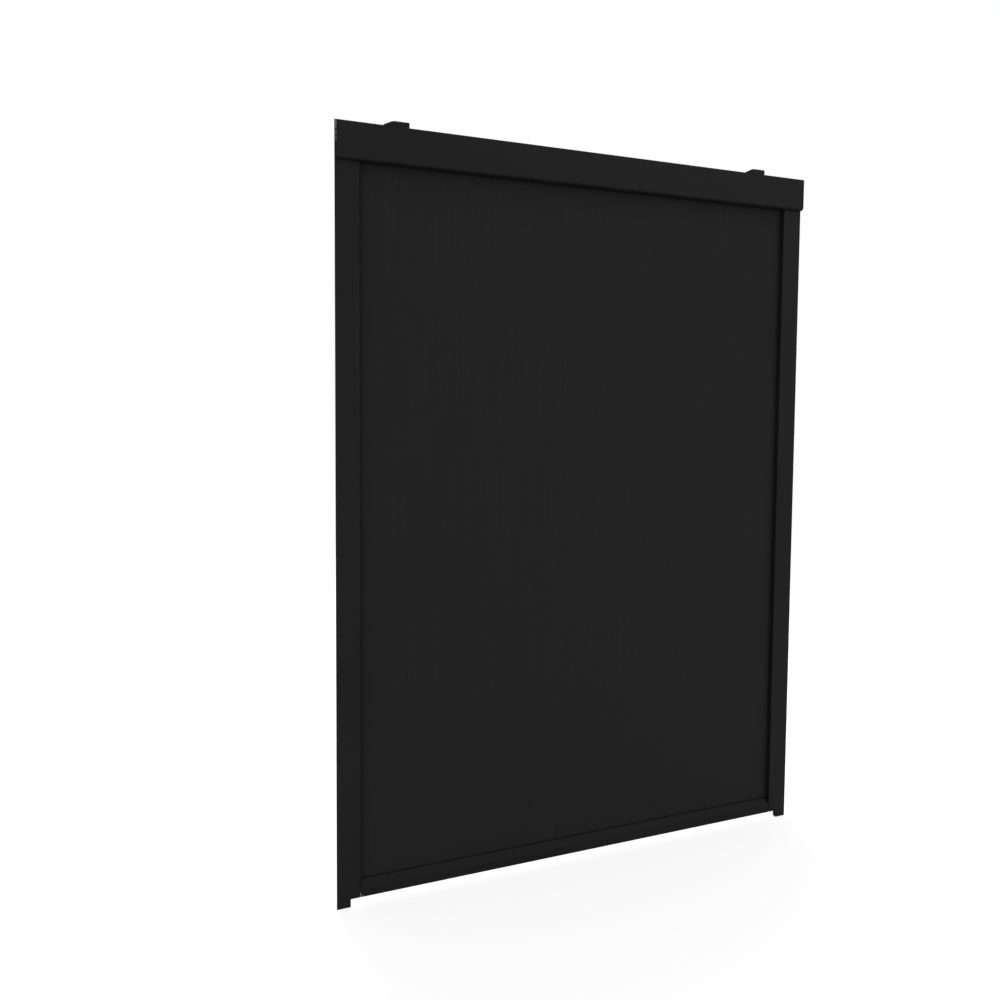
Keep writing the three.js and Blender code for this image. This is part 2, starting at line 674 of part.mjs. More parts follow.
// The pocket's outline, on the wall at `wallY` and rising towards `inward`.
function brushPocket(wallY, inward) {
  const lip = wallY + inward * POCKET.lip;
  const top = wallY + inward * POCKET.top;
  return [
    [CHANNEL_WIDTH, top], [POCKET.lipNear, top], [POCKET.lipNear, lip],
    [POCKET.near, lip], [POCKET.near, wallY], [POCKET.far, wallY],
    [POCKET.far, lip], [POCKET.lipFar, lip], [POCKET.lipFar, top],
    [POCKET.end, top], [POCKET.end, wallY],
  ];
}

const TRACK_RIB = [28, 29.4];  // holds the runner in, from the front and from the back
const TRACK_HALF_GAP = 3.6;

// The base's web ends in an arrow head, and the cover's two legs hook behind it.
const WEB = { outer: 5.4, inner: 7.2, barb: 0.6, barbY: -18.6, tipY: -20 };
const LEG = { clear: 1, thickness: 1.2, hook: 0.6, tipY: -17, hookY: -17.8, rootY: -18.2 };

// The base is screwed to the reveal through its outer wall. Its web takes the cover's two legs.
function channelBase() {
  const wallY = CHANNEL_BACK - WALL;
  const outline = fromOuter([
    [0, CHANNEL_BACK],
    [CHANNEL_WIDTH, CHANNEL_BACK, 0.6],
    ...brushPocket(wallY, -1),
    [TRACK_RIB[1], wallY], [TRACK_RIB[1], FABRIC_Y + TRACK_HALF_GAP],
    [TRACK_RIB[0], FABRIC_Y + TRACK_HALF_GAP], [TRACK_RIB[0], wallY],
    [WEB.inner, wallY], [WEB.inner, WEB.barbY], [WEB.inner + WEB.barb, WEB.barbY], [WEB.inner, WEB.tipY],
    [WEB.outer, WEB.tipY], [WEB.outer - WEB.barb, WEB.barbY], [WEB.outer, WEB.barbY], [WEB.outer, wallY],
    [WALL, wallY],
    [WALL, CHANNEL_FRONT + WALL + GAP],
    [0, CHANNEL_FRONT + WALL + GAP],
  ]);
  const base = prism('z', roundedPoints(outline, 2), FOOT_HEIGHT, CHANNEL_TOP);
  const screwY = FABRIC_Y + 2;
  const [wallHole, webHole] = [2.25, 4.5];       // the web's holes let the screw heads through
  const drilled = (z, radius, s) => {
    const hole = circlePoints(screwY, z, radius, 20);
    return prism('x', hole, CHANNEL_OUTER - s - 2, CHANNEL_OUTER - s + 2);
  };
  const holes = CHANNEL_SCREW_HEIGHTS.flatMap((z) => [
    drilled(z, wallHole, 0),
    drilled(z, webHole, (WEB.outer + WEB.inner) / 2),
  ]);
  return carve(base, { cut: holes });
}

// The cover snaps onto the web from the front and carries the front brush.
function channelCover() {
  const wallY = CHANNEL_FRONT + WALL;
  const innerLeg = WEB.inner + LEG.clear;
  const outerLeg = WEB.outer - LEG.clear;
  const outline = fromOuter([
    [0, CHANNEL_FRONT, 0.8],
    [CHANNEL_WIDTH, CHANNEL_FRONT, 1.2],
    ...brushPocket(wallY, 1),
    [TRACK_RIB[1], wallY], [TRACK_RIB[1], FABRIC_Y - TRACK_HALF_GAP],
    [TRACK_RIB[0], FABRIC_Y - TRACK_HALF_GAP], [TRACK_RIB[0], wallY],
    [innerLeg + LEG.thickness, wallY], [innerLeg + LEG.thickness, LEG.tipY], [innerLeg, LEG.tipY],
    [innerLeg - LEG.hook, LEG.hookY], [innerLeg, LEG.rootY], [innerLeg, wallY],
    [outerLeg, wallY], [outerLeg, LEG.rootY], [outerLeg + LEG.hook, LEG.hookY],
    [outerLeg, LEG.tipY], [outerLeg - LEG.thickness, LEG.tipY], [outerLeg - LEG.thickness, wallY],
    [0, wallY],
  ]);
  return prism('z', roundedPoints(outline, 3), FOOT_HEIGHT, CHANNEL_TOP);
}

// A strip of brush: its backing slides in the pocket, and its pile reaches towards the fabric.
function brushStrip(wallY, inward) {
  const root = wallY + inward * GAP;
  const shoulder = wallY + inward * (POCKET.lip - GAP);
  const tip = FABRIC_Y - inward * (RUNNER_NECK / 2 + GAP);
  const outline = fromOuter([
    [POCKET.near - GAP, root],
    [POCKET.near - GAP, shoulder],
    [POCKET.lipNear - GAP, shoulder],
    [POCKET.lipNear - GAP, tip],
    [POCKET.lipFar + GAP, tip],
    [POCKET.lipFar + GAP, shoulder],
    [POCKET.far + GAP, shoulder],
    [POCKET.far + GAP, root],
  ]);
  return prism('z', roundedPoints(outline), FOOT_HEIGHT + 1, CHANNEL_TOP - 1);
}

const FOOT_PLUG = { inner: RUNNER.inner + 1, outer: RUNNER.outer + 0.5, front: -25.5, back: -13 };

// The foot stands on the sill under the outer half of the channel and plugs into it. The plug's
// top is the hem bar's lower stop.
function channelFoot() {
  const inner = CHANNEL_OUTER - FOOT_WIDTH;
  const back = CHANNEL_FRONT + FOOT_DEPTH;
  const [outerCorner, innerCorner] = [0.8, 1.5];
  const sole = prism('z', roundedPoints([
    [inner, CHANNEL_FRONT, innerCorner],
    [CHANNEL_OUTER, CHANNEL_FRONT, outerCorner],
    [CHANNEL_OUTER, back, outerCorner],
    [inner, back, innerCorner],
  ]), 0, FOOT_HEIGHT - GAP, { chamfer: EDGE });
  const plug = block(
    FOOT_PLUG.inner, FOOT_PLUG.outer, FOOT_PLUG.front, FOOT_PLUG.back, FOOT_HEIGHT - BITE, FOOT_PLUG_TOP,
  );
  return carve(sole, { add: [plug] });
}

function addChannels() {
  const base = channelBase();
  const cover = channelCover();
  const frontBrush = brushStrip(CHANNEL_FRONT + WALL, 1);
  const backBrush = brushStrip(CHANNEL_BACK - WALL, -1);
  const foot = channelFoot();
  for (const side of SIDES) {
    addPiece(`channel_${side}_base`, onSide(side, base), POWDER_COAT);
    addPiece(`channel_${side}_cover`, onSide(side, cover), POWDER_COAT);
    addPiece(`channel_${side}_brush_front`, onSide(side, frontBrush), BRUSH_PILE);
    addPiece(`channel_${side}_brush_back`, onSide(side, backBrush), BRUSH_PILE);
    addPiece(`channel_${side}_foot`, onSide(side, foot), BLACK_PLASTIC);
  }
}

// ---------------------------------------------------------------- top fixing clips

// Both clips are alike, with the lever's handle to the left. x is measured from the rivet.
const LEVER_BOTTOM = LIP_UNDER - 3;
const LEVER_HUB = 4.5;
const HANDLE_LENGTH = 36.5;
const RIVET_HOLE = 2.3;

// Bent sheet: a top plate, a front leg that stands on the front lip, and a rear hook under the
// rear lip.
function clipPlate() {
  const underside = CLIP_TOP - CLIP_SHEET;
  const hookTop = LIP_UNDER - 1.5;
  const hookEnd = LIP_EDGE + 5.5;
  const drop = LIP_EDGE - 1;
  const bend = 2;
  const bent = prism('x', roundedPoints([
    [CLIP_FRONT, HEADBOX_TOP + GAP],
    [CLIP_FRONT, CLIP_TOP, bend],
    [drop, CLIP_TOP, bend],
    [drop, hookTop],
    [hookEnd, hookTop],
    [hookEnd, hookTop - CLIP_SHEET],
    [drop - CLIP_SHEET, hookTop - CLIP_SHEET, 1],
    [drop - CLIP_SHEET, underside],
    [CLIP_FRONT + CLIP_SHEET, underside],
    [CLIP_FRONT + CLIP_SHEET, HEADBOX_TOP + GAP],
  ]), -CLIP_WIDTH / 2, CLIP_WIDTH / 2);
  const corner = 2.5;
  const frontView = prism('y', roundedPoints([
    [-CLIP_WIDTH / 2, TROUGH_FLOOR],
    [CLIP_WIDTH / 2, TROUGH_FLOOR],
    [CLIP_WIDTH / 2, CLIP_TOP, corner],
    [-CLIP_WIDTH / 2, CLIP_TOP, corner],
  ]), FRONT - 1, BACK + 1);
  const hole = (x, y, radius) => {
    const outline = circlePoints(x, y, radius, 20);
    return prism('z', outline, underside - 1, CLIP_TOP + 1);
  };
  const [screwX, screwY, screwHole] = [9, 18, 2.4];
  return carve(bent, {
    keep: [frontView],
    cut: [
      hole(0, PIVOT_Y, RIVET_HOLE),
      hole(-screwX, screwY, screwHole),
      hole(screwX, screwY, screwHole),
    ],
  });
}

// The lever's nose turns under the front lip. Its arm runs under the plate to a grip beyond the
// plate's edge, as far forward as the plate and sloping down to the left.
function clipLever() {
  const top = CLIP_TOP - CLIP_SHEET - GAP;
  const bottom = HEADBOX_TOP + 0.6;
  const armBack = PIVOT_Y + 1;
  const gripStart = -CLIP_WIDTH / 2 - 0.4;
  const hub = prism('z', circlePoints(0, PIVOT_Y, LEVER_HUB, 28), LEVER_BOTTOM, top);
  const nose = prism('z', roundedPoints([
    [-LEVER_HUB, PIVOT_Y],
    [-LEVER_HUB, CLIP_FRONT + 0.5, 2],
    [LEVER_HUB, CLIP_FRONT + 0.5, 2],
    [LEVER_HUB, PIVOT_Y],
  ]), LEVER_BOTTOM, LEVER_BOTTOM + 2.4);
  const arm = block(gripStart - 1, 0, CLIP_FRONT + CLIP_SHEET + GAP, armBack, bottom, top);
  const grip = prism('y', roundedPoints([
    [gripStart, bottom],
    [gripStart, top],
    [gripStart - 2, top, 1],
    [-HANDLE_LENGTH, bottom + 1.4, 0.8],
    [-HANDLE_LENGTH, bottom],
  ]), CLIP_FRONT, armBack, { chamfer: EDGE });
  const bore = prism('z', circlePoints(0, PIVOT_Y, RIVET_HOLE, 20), LEVER_BOTTOM - 1, top + 1);
  return carve(hub, { add: [nose, arm, grip], cut: [bore] });
}

function clipRivet() {
  const headTop = LEVER_BOTTOM - GAP;
  const headBottom = headTop - 1.9;
  const [shank, head, edge] = [RIVET_HOLE - GAP, 4.2, 1];
  return turned('z', [
    [0, headBottom],
    [head - edge, headBottom],
    [head, headBottom + edge],
    [head, headTop],
    [shank, headTop],
    [shank, CLIP_TOP - GAP],
    [0, CLIP_TOP - GAP],
  ], 20).translate(0, PIVOT_Y, 0);
}

function addClips() {
  for (const [side, x] of [['left', -CLIP_X], ['right', CLIP_X]]) {
    const clip = new THREE.Group();
    clip.position.x = x;
    screen.add(clip);
    addPiece(`clip_${side}_plate`, clipPlate(), BLACK_STEEL, clip);
    addPiece(`clip_${side}_lever`, clipLever(), BLACK_PLASTIC, clip);
    addPiece(`clip_${side}_rivet`, clipRivet(), BLACK_STEEL, clip);
  }
}

addHeadbox();
addRoller();
addFabricAndHemBar();
addChannels();
addClips();

export default screen;
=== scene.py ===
"""The looks of the roll-down screen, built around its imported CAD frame. Metres, +Z up."""

import math

import bpy
import numpy as np
from mathutils import Matrix, Vector


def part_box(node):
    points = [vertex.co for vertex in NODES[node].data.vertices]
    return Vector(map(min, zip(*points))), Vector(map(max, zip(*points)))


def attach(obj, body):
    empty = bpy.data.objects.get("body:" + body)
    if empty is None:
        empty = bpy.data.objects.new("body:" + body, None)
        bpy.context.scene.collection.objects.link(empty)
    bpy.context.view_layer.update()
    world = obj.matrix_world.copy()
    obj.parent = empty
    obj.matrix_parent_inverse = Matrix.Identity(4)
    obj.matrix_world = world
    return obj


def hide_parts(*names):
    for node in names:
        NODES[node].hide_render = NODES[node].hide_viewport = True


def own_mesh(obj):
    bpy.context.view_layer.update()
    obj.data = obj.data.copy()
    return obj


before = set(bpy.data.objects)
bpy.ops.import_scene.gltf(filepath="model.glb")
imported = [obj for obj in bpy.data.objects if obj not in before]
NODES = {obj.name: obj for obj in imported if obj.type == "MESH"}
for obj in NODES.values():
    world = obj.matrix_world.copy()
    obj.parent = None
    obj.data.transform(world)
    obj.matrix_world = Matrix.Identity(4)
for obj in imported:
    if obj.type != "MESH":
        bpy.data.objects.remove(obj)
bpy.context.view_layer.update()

MM = 0.001
SIDES = ("left", "right")

# ---------------------------------------------------------------- places, all from the frame

fabric_low, fabric_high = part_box("fabric_panel")
wound_low, wound_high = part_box("fabric_wound")

FABRIC_Y = (fabric_low.y + fabric_high.y) / 2
FABRIC_HALF_WIDTH = fabric_high.x
FABRIC_THICKNESS = 0.5 * MM
ROLLER_Z = (wound_low.z + wound_high.z) / 2
ROLLER_Y = (wound_low.y + wound_high.y) / 2

# ---------------------------------------------------------------- camera

CAMERA_PLACE = Vector((-0.5671, -1.2951, 1.0865))
CAMERA_YAW = math.radians(15.438)      # from +Y towards +X
CAMERA_PITCH = math.radians(-2.255)
CAMERA_ROLL = math.radians(0.441)
CAMERA_LENS = 21.20
CAMERA_SHIFT = (-0.0007, -0.0727)


def add_camera():
    data = bpy.data.cameras.new("camera")
    data.sensor_width = 36
    data.lens = CAMERA_LENS
    data.shift_x, data.shift_y = CAMERA_SHIFT
    data.clip_start = 0.05
    camera = bpy.data.objects.new("camera", data)
    bpy.context.scene.collection.objects.link(camera)
    ahead = Vector((
        math.sin(CAMERA_YAW) * math.cos(CAMERA_PITCH),
        math.cos(CAMERA_YAW) * math.cos(CAMERA_PITCH),
        math.sin(CAMERA_PITCH),
    ))
    level_right = Vector((math.cos(CAMERA_YAW), -math.sin(CAMERA_YAW), 0))
    level_up = level_right.cross(ahead)
    right = level_right * math.cos(CAMERA_ROLL) + level_up * math.sin(CAMERA_ROLL)
    up = level_up * math.cos(CAMERA_ROLL) - level_right * math.sin(CAMERA_ROLL)
    turn = Matrix((right, up, -ahead)).transposed()
    camera.matrix_world = Matrix.Translation(CAMERA_PLACE) @ turn.to_4x4()
    bpy.context.scene.camera = camera


# ---------------------------------------------------------------- materials

class Shader:
    """A Principled material and short ways to add the nodes that drive it."""

    def __init__(self, name, roughness, metallic=0.0, specular=0.2):
        self.material = bpy.data.materials.new(name)
        self.material.use_nodes = True
        self.tree = self.material.node_tree
        self.surface = self.tree.nodes["Principled BSDF"]
        self.set(self.surface, {
            "Roughness": roughness,
            "Metallic": metallic,
            "Specular IOR Level": specular,
        })

    def set(self, node, values):
        for socket, value in values.items():
            if isinstance(value, bpy.types.NodeSocket):
                self.tree.links.new(value, node.inputs[socket])
            else:
                node.inputs[socket].default_value = value
        return node

    def node(self, kind, values=None, **settings):
        node = self.tree.nodes.new(kind)
        for key, value in settings.items():
            setattr(node, key, value)
        return self.set(node, values or {})

    def place(self, stretch=(1, 1, 1), source="Object"):
        """Coordinates in metres, multiplied by stretch."""
        coordinates = self.node("ShaderNodeTexCoord")
        factors = {0: coordinates.outputs[source], 1: stretch}
        return self.node("ShaderNodeVectorMath", factors, operation="MULTIPLY").outputs[0]

    def noise(self, scale, detail=3.0, place=None, roughness=0.5):
        node = self.node("ShaderNodeTexNoise", {
            "Vector": place or self.place(),
            "Scale": scale,
            "Detail": detail,
            "Roughness": roughness,
        })
        return node.outputs["Fac"]

    def cells(self, scale, output):
        return self.node("ShaderNodeTexVoronoi", {"Vector": self.place(), "Scale": scale}).outputs[output]

    def maths(self, operation, *values):
        return self.node("ShaderNodeMath", dict(enumerate(values)), operation=operation).outputs[0]

    def arch(self, value):
        """Half a sine wave over each whole step of value: a thread's rounded height."""
        return self.maths("SINE", self.maths("MULTIPLY", self.maths("FRACT", value), math.pi))

    def between(self, value, low, high, from_low=0.3, from_high=0.7):
        """value, moved from one range to another and held inside it."""
        return self.node("ShaderNodeMapRange", {
            "Value": value,
            "From Min": from_low,
            "From Max": from_high,
            "To Min": low,
            "To Max": high,
        }).outputs["Result"]

    def mix(self, share, first, second):
        node = self.node("ShaderNodeMix", data_type="RGBA")
        for socket, value in (("Factor_Float", share), ("A_Color", first), ("B_Color", second)):
            found = next(s for s in node.inputs if s.identifier == socket)
            if isinstance(value, bpy.types.NodeSocket):
                self.tree.links.new(value, found)
            else:
                found.default_value = value
        return next(s for s in node.outputs if s.identifier == "Result_Color")

    def bump(self, height, distance, strength=1.0, normal=None):
        values = {"Height": height, "Distance": distance, "Strength": strength}
        if normal:
            values["Normal"] = normal
        return self.node("ShaderNodeBump", values).outputs["Normal"]

    def finish(self, **values):
        names = {"colour": "Base Color", "roughness": "Roughness", "normal": "Normal"}
        self.set(self.surface, {names[key]: value for key, value in values.items()})
        return self.material


def grey(level, warmth=0.0):
    return (level * (1 + warmth), level, level * (1 - warmth), 1)


def powder_coat():
    shader = Shader("powder_coat", roughness=0.55, specular=0.2)
    texture = shader.noise(1100, 2)
    cloud = shader.noise(7, 4)
    speckle = shader.noise(420, 3)
    tone = shader.mix(shader.between(cloud, 0, 1), grey(0.0128), grey(0.0152))
    tone = shader.mix(shader.between(speckle, 0, 0.6, 0.52, 0.72), tone, grey(0.021))
    return shader.finish(
        colour=tone,
        roughness=shader.between(speckle, 0.5, 0.64),
        normal=shader.bump(texture, 0.25 * MM, 0.5),
    )


def black_plastic():
    shader = Shader("black_plastic", roughness=0.6, specular=0.2)
    grain = shader.cells(1500, "Distance")
    cloud = shader.noise(25, 3)
    tone = shader.mix(shader.between(cloud, 0, 1), grey(0.0140), grey(0.0175))
    return shader.finish(
        colour=tone,
        roughness=shader.between(shader.noise(60, 3), 0.52, 0.68),
        normal=shader.bump(grain, 0.08 * MM, 0.6),
    )


THREAD = 1.1 * MM     # spacing of the weave's threads
CROSSED = 0.55        # the least height of a thread, as a share of its greatest
SLUB = 700            # streaks per metre across a thread, and along it
SLUB_LENGTH = 3


def screen_fabric():
    """A plain weave of coated yarn. UV is in metres on the flat cloth."""
    shader = Shader("screen_fabric", roughness=0.8, specular=0.12)
    flat = shader.place((1 / THREAD, 1 / THREAD, 1), "UV")
    parts = shader.node("ShaderNodeSeparateXYZ", {0: flat})
    across = shader.arch(parts.outputs["X"])
    along = shader.arch(parts.outputs["Y"])
    over = shader.node("ShaderNodeTexChecker", {"Vector": flat, "Scale": 1.0}).outputs["Fac"]
    warp = shader.maths("MULTIPLY", across, shader.maths("MULTIPLY_ADD", along, 1 - CROSSED, CROSSED))
    weft = shader.maths("MULTIPLY", along, shader.maths("MULTIPLY_ADD", across, 1 - CROSSED, CROSSED))
    under = shader.maths("SUBTRACT", 1.0, over)
    raised_warp = shader.maths("MULTIPLY", warp, over)
    raised_weft = shader.maths("MULTIPLY", weft, under)
    height = shader.maths("ADD", raised_warp, raised_weft)
    slub_warp = shader.noise(1, 3, shader.place((SLUB, SLUB_LENGTH, 1), "UV"))
    slub_weft = shader.noise(1, 3, shader.place((SLUB_LENGTH, SLUB, 1), "UV"))
    cloud = shader.noise(2.6, 4, shader.place((1, 1, 1), "UV"))
    yarn = shader.mix(shader.between(slub_warp, 0, 1), grey(0.0250), grey(0.0335))
    yarn = shader.mix(shader.between(slub_weft, 0, 0.5), yarn, grey(0.0355))
    yarn = shader.mix(shader.between(cloud, 0, 0.35), yarn, grey(0.0385))
    # Painted shade: where the weave's height is low, in the gaps between the threads, the yarn colour is
    # darkened towards near black (grey 0.009) to stand for the shade in those recesses.
    tone = shader.mix(shader.between(height, 0, 1, 0.1, 0.6), grey(0.009), yarn)
    shader.set(shader.surface, {"Sheen Weight": 0.05, "Sheen Roughness": 0.5})
    return shader.finish(
        colour=tone,
        roughness=shader.between(cloud, 0.74, 0.86),
        normal=shader.bump(height, 0.22 * MM, 0.7),
    )


def brush_pile():
    shader = Shader("brush_pile", roughness=0.75, specular=0.15)
    strands = shader.noise(1, 2, shader.place((2500, 200, 2500)))
    return shader.finish(
        colour=shader.mix(shader.between(strands, 0, 1), grey(0.045), grey(0.075)),
        roughness=shader.between(strands, 0.68, 0.82),
        normal=shader.bump(strands, 0.1 * MM, 0.5),
    )


def black_steel():
    shader = Shader("black_steel", roughness=0.48, specular=0.2)
    mottle = shader.noise(90, 4)
    fine = shader.noise(1800, 2)
    return shader.finish(
        colour=shader.mix(shader.between(mottle, 0, 1), grey(0.0095), grey(0.0155)),
        roughness=shader.between(mottle, 0.42, 0.56),
        normal=shader.bump(fine, 0.05 * MM, 0.5),
    )


def mill_aluminium():
    shader = Shader("mill_aluminium", roughness=0.35, metallic=1.0, specular=0.5)
    drawn = shader.noise(1, 4, shader.place((4, 1500, 1500)))
    stain = shader.noise(14, 4)
    tone = shader.mix(shader.between(stain, 0, 1), grey(0.50), grey(0.62, -0.01))
    tone = shader.mix(shader.between(drawn, 0, 0.35), tone, grey(0.42))
    return shader.finish(
        colour=tone,
        roughness=shader.between(drawn, 0.28, 0.46),
        normal=shader.bump(drawn, 0.03 * MM, 0.6),
    )


def zinc_steel():
    shader = Shader("zinc_steel", roughness=0.4, metallic=1.0, specular=0.5)
    spangle = shader.cells(260, "Color")
    cloud = shader.noise(40, 4)
    tone = shader.mix(shader.between(cloud, 0, 1), grey(0.42, 0.02), grey(0.56, -0.02))
    return shader.finish(
        colour=tone,
        roughness=shader.between(spangle, 0.32, 0.5),
        normal=shader.bump(shader.noise(900, 3), 0.04 * MM, 0.5),
    )


def seal_rubber():
    shader = Shader("seal_rubber", roughness=0.78, specular=0.15)
    bloom = shader.noise(30, 4)
    drawn = shader.noise(1, 3, shader.place((10, 1800, 1800)))
    return shader.finish(
        colour=shader.mix(shader.between(bloom, 0, 1), grey(0.0105), grey(0.0165)),
        roughness=shader.between(bloom, 0.7, 0.86),
        normal=shader.bump(drawn, 0.06 * MM, 0.6),
    )


# ---------------------------------------------------------------- CAD nodes: material and edges

def shade_smooth_group():
    """Merges coincident points and shades every face smooth."""
    group = bpy.data.node_groups.new("shade_smooth", "GeometryNodeTree")
    group.interface.new_socket("Geometry", in_out="INPUT", socket_type="NodeSocketGeometry")
    group.interface.new_socket("Geometry", in_out="OUTPUT", socket_type="NodeSocketGeometry")
    start = group.nodes.new("NodeGroupInput")
    merge = group.nodes.new("GeometryNodeMergeByDistance")
    merge.inputs["Distance"].default_value = 0.01 * MM
    smooth = group.nodes.new("GeometryNodeSetShadeSmooth")
    end = group.nodes.new("NodeGroupOutput")
    group.links.new(start.outputs[0], merge.inputs["Geometry"])
    group.links.new(merge.outputs["Geometry"], smooth.inputs["Geometry"])
    group.links.new(smooth.outputs["Geometry"], end.inputs[0])
    return group


SMOOTH = shade_smooth_group()
FLAT_ANGLE = math.radians(0.3)
CORNER_ANGLE = math.radians(32)


def soften(piece, edge):
    """Rounds a piece's corners by edge and shades its curves smooth, without touching its mesh."""
    merge = piece.modifiers.new("merge", "NODES")
    merge.node_group = SMOOTH
    flatten = piece.modifiers.new("flatten", "DECIMATE")
    flatten.decimate_type = "DISSOLVE"
    flatten.angle_limit = FLAT_ANGLE
    if edge:
        bevel = piece.modifiers.new("edges", "BEVEL")
        bevel.width = edge
        bevel.segments = 2
        bevel.limit_method = "ANGLE"
        bevel.angle_limit = CORNER_ANGLE
        bevel.use_clamp_overlap = True
    weigh = piece.modifiers.new("normals", "WEIGHTED_NORMAL")
    weigh.mode = "FACE_AREA"
    weigh.weight = 50


def dress(node, material, edge):
    piece = NODES[node]
    for slot in piece.material_slots:
        slot.material = material
    if not piece.material_slots:
        piece.data.materials.append(material)
    soften(piece, edge)


def new_piece(name, points, faces, material, body, uv=None, smooth=True):
    mesh = bpy.data.meshes.new(name)
    mesh.from_pydata([tuple(p) for p in points], [], faces)
    mesh.materials.append(material)
    if uv is not None:
        layer = mesh.uv_layers.new(name="flat")
        corners = np.empty(len(mesh.loops), dtype=np.int32)
        mesh.loops.foreach_get("vertex_index", corners)
        layer.data.foreach_set("uv", np.asarray(uv)[corners].astype(np.float32).ravel())
    mesh.polygons.foreach_set("use_smooth", [smooth] * len(mesh.polygons))
    mesh.update()
    piece = bpy.data.objects.new(name, mesh)
    bpy.context.scene.collection.objects.link(piece)
    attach(piece, body)
    return piece


# ---------------------------------------------------------------- the hanging fabric

COLUMNS = 110
ROWS = 150
WAVE_LIMIT = 4.5 * MM       # in the free middle of the cloth
SIDE_LIMIT = 1.6 * MM       # between the brushes
RIPPLES = [                 # height, waves per metre across and up, phase
    (1.6 * MM, 3.1, 0.35, 0.6),
    (1.1 * MM, 5.3, -0.22, 2.1),
]
FOLDS = [                   # start and end as (x, z), width, depth
    ((-0.06, 1.42), (0.25, 0.22), 0.07, 3.4 * MM),
    ((-0.50, 0.62), (0.20, 0.30), 0.03, -2.0 * MM),
    ((-0.22, 0.10), (-0.30, 0.60), 0.05, 2.4 * MM),
    ((0.08, 0.08), (0.02, 0.45), 0.045, -2.2 * MM),
]
SIDE_EDGE = 20 * MM
SIDE_REACH = 60 * MM
FLAT_TOP = 0.12             # the cloth is flat to this far below its upper edge
FREE_TOP = 0.60             # and waves fully from here
FLAT_BOTTOM = 0.16          # the same above its lower edge; the squeezed cloth has to
FREE_BOTTOM = 0.40          # fit the hem bar's slot when the screen is rolled up


def eased(value, low, high):
    t = np.clip((value - low) / (high - low), 0, 1)
    return t * t * (3 - 2 * t)


def fold(x, z, start, end, width, depth):
    """One long soft fold from start to end, both (x, z), fading out at its two ends."""
    a, b = np.array(start), np.array(end)
    run = b - a
    t = ((x - a[0]) * run[0] + (z - a[1]) * run[1]) / (run @ run)
    aside = ((x - a[0]) * run[1] - (z - a[1]) * run[0]) / np.linalg.norm(run)
    return depth * np.exp(-((aside / width) ** 2)) * eased(t, -0.15, 0.2) * (1 - eased(t, 0.8, 1.15))


def hang(x, z):
    """How far the cloth stands off its plane, towards the back."""
    wave = 0
    for height, across, up, phase in RIPPLES:
        wave = wave + height * np.sin(2 * math.pi * (x * across + z * up) + phase)
    for start, end, width, depth in FOLDS:
        wave = wave + fold(x, z, start, end, width, depth)
    wave = WAVE_LIMIT * np.tanh(wave / WAVE_LIMIT)
    side = np.abs(x)
    free = eased(FABRIC_HALF_WIDTH - side, SIDE_EDGE, SIDE_EDGE + SIDE_REACH)
    share = SIDE_LIMIT / WAVE_LIMIT + (1 - SIDE_LIMIT / WAVE_LIMIT) * free
    held_top = eased(fabric_high.z - z, FLAT_TOP, FREE_TOP)
    held_bottom = eased(z - fabric_low.z, FLAT_BOTTOM, FREE_BOTTOM)
    return wave * share * held_top * held_bottom


def closed_sheet_faces(columns, rows):
    """Faces of a sheet with two skins, whose points run row by row, the front skin first."""
    wide = columns + 1
    count = wide * (rows + 1)
    faces = []
    for row in range(rows):
        for column in range(columns):
            a = row * wide + column
            b, c, d = a + 1, a + wide + 1, a + wide
            faces.append((a, b, c, d))
            faces.append((d + count, c + count, b + count, a + count))
    for column in range(columns):
        a, b = column, column + 1
        faces.append((a + count, b + count, b, a))
        a, b = a + rows * wide, b + rows * wide
        faces.append((a, b, b + count, a + count))
    for row in range(rows):
        a, d = row * wide, (row + 1) * wide
        faces.append((a, d, d + count, a + count))
        b, c = a + columns, d + columns
        faces.append((b + count, c + count, c, b))
    return faces


def add_hanging_fabric(material):
    xs = np.linspace(-FABRIC_HALF_WIDTH, FABRIC_HALF_WIDTH, COLUMNS + 1)
    zs = np.linspace(fabric_low.z, fabric_high.z, ROWS + 1)
    x, z = (a.ravel() for a in np.meshgrid(xs, zs))
    middle = FABRIC_Y + hang(x, z)
    half = FABRIC_THICKNESS / 2
    points = np.concatenate([
        np.stack([x, middle - half, z], 1),
        np.stack([x, middle + half, z], 1),
    ])
    faces = closed_sheet_faces(COLUMNS, ROWS)
    uv = np.concatenate([np.stack([x, z], 1)] * 2)
    cloth = new_piece("hanging_fabric", points, faces, material, "frame", uv)
    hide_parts("fabric_panel")
    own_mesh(cloth)


# ---------------------------------------------------------------- the fabric left on the roller

ROLL_END = math.pi                        # where the cloth leaves the roller, at its front
ROLL_START = math.pi / 2 - 2 * math.pi    # the lock strip, more than a turn further in
ROLL_STEPS = 120
ROLL_COLUMNS = 60
ROLL_INSET = 0.7 * MM                     # from the CAD roll's surface to the innermost turn's middle
ROLL_GAP = 0.06 * MM                      # between the roll and the hanging sheet's back
ROLL_SLACK = 0.03 * MM
ROLL_INNER = (wound_high.z - wound_low.z) / 2 - ROLL_INSET
ROLL_OUTER = ROLLER_Y - FABRIC_Y - FABRIC_THICKNESS - ROLL_GAP


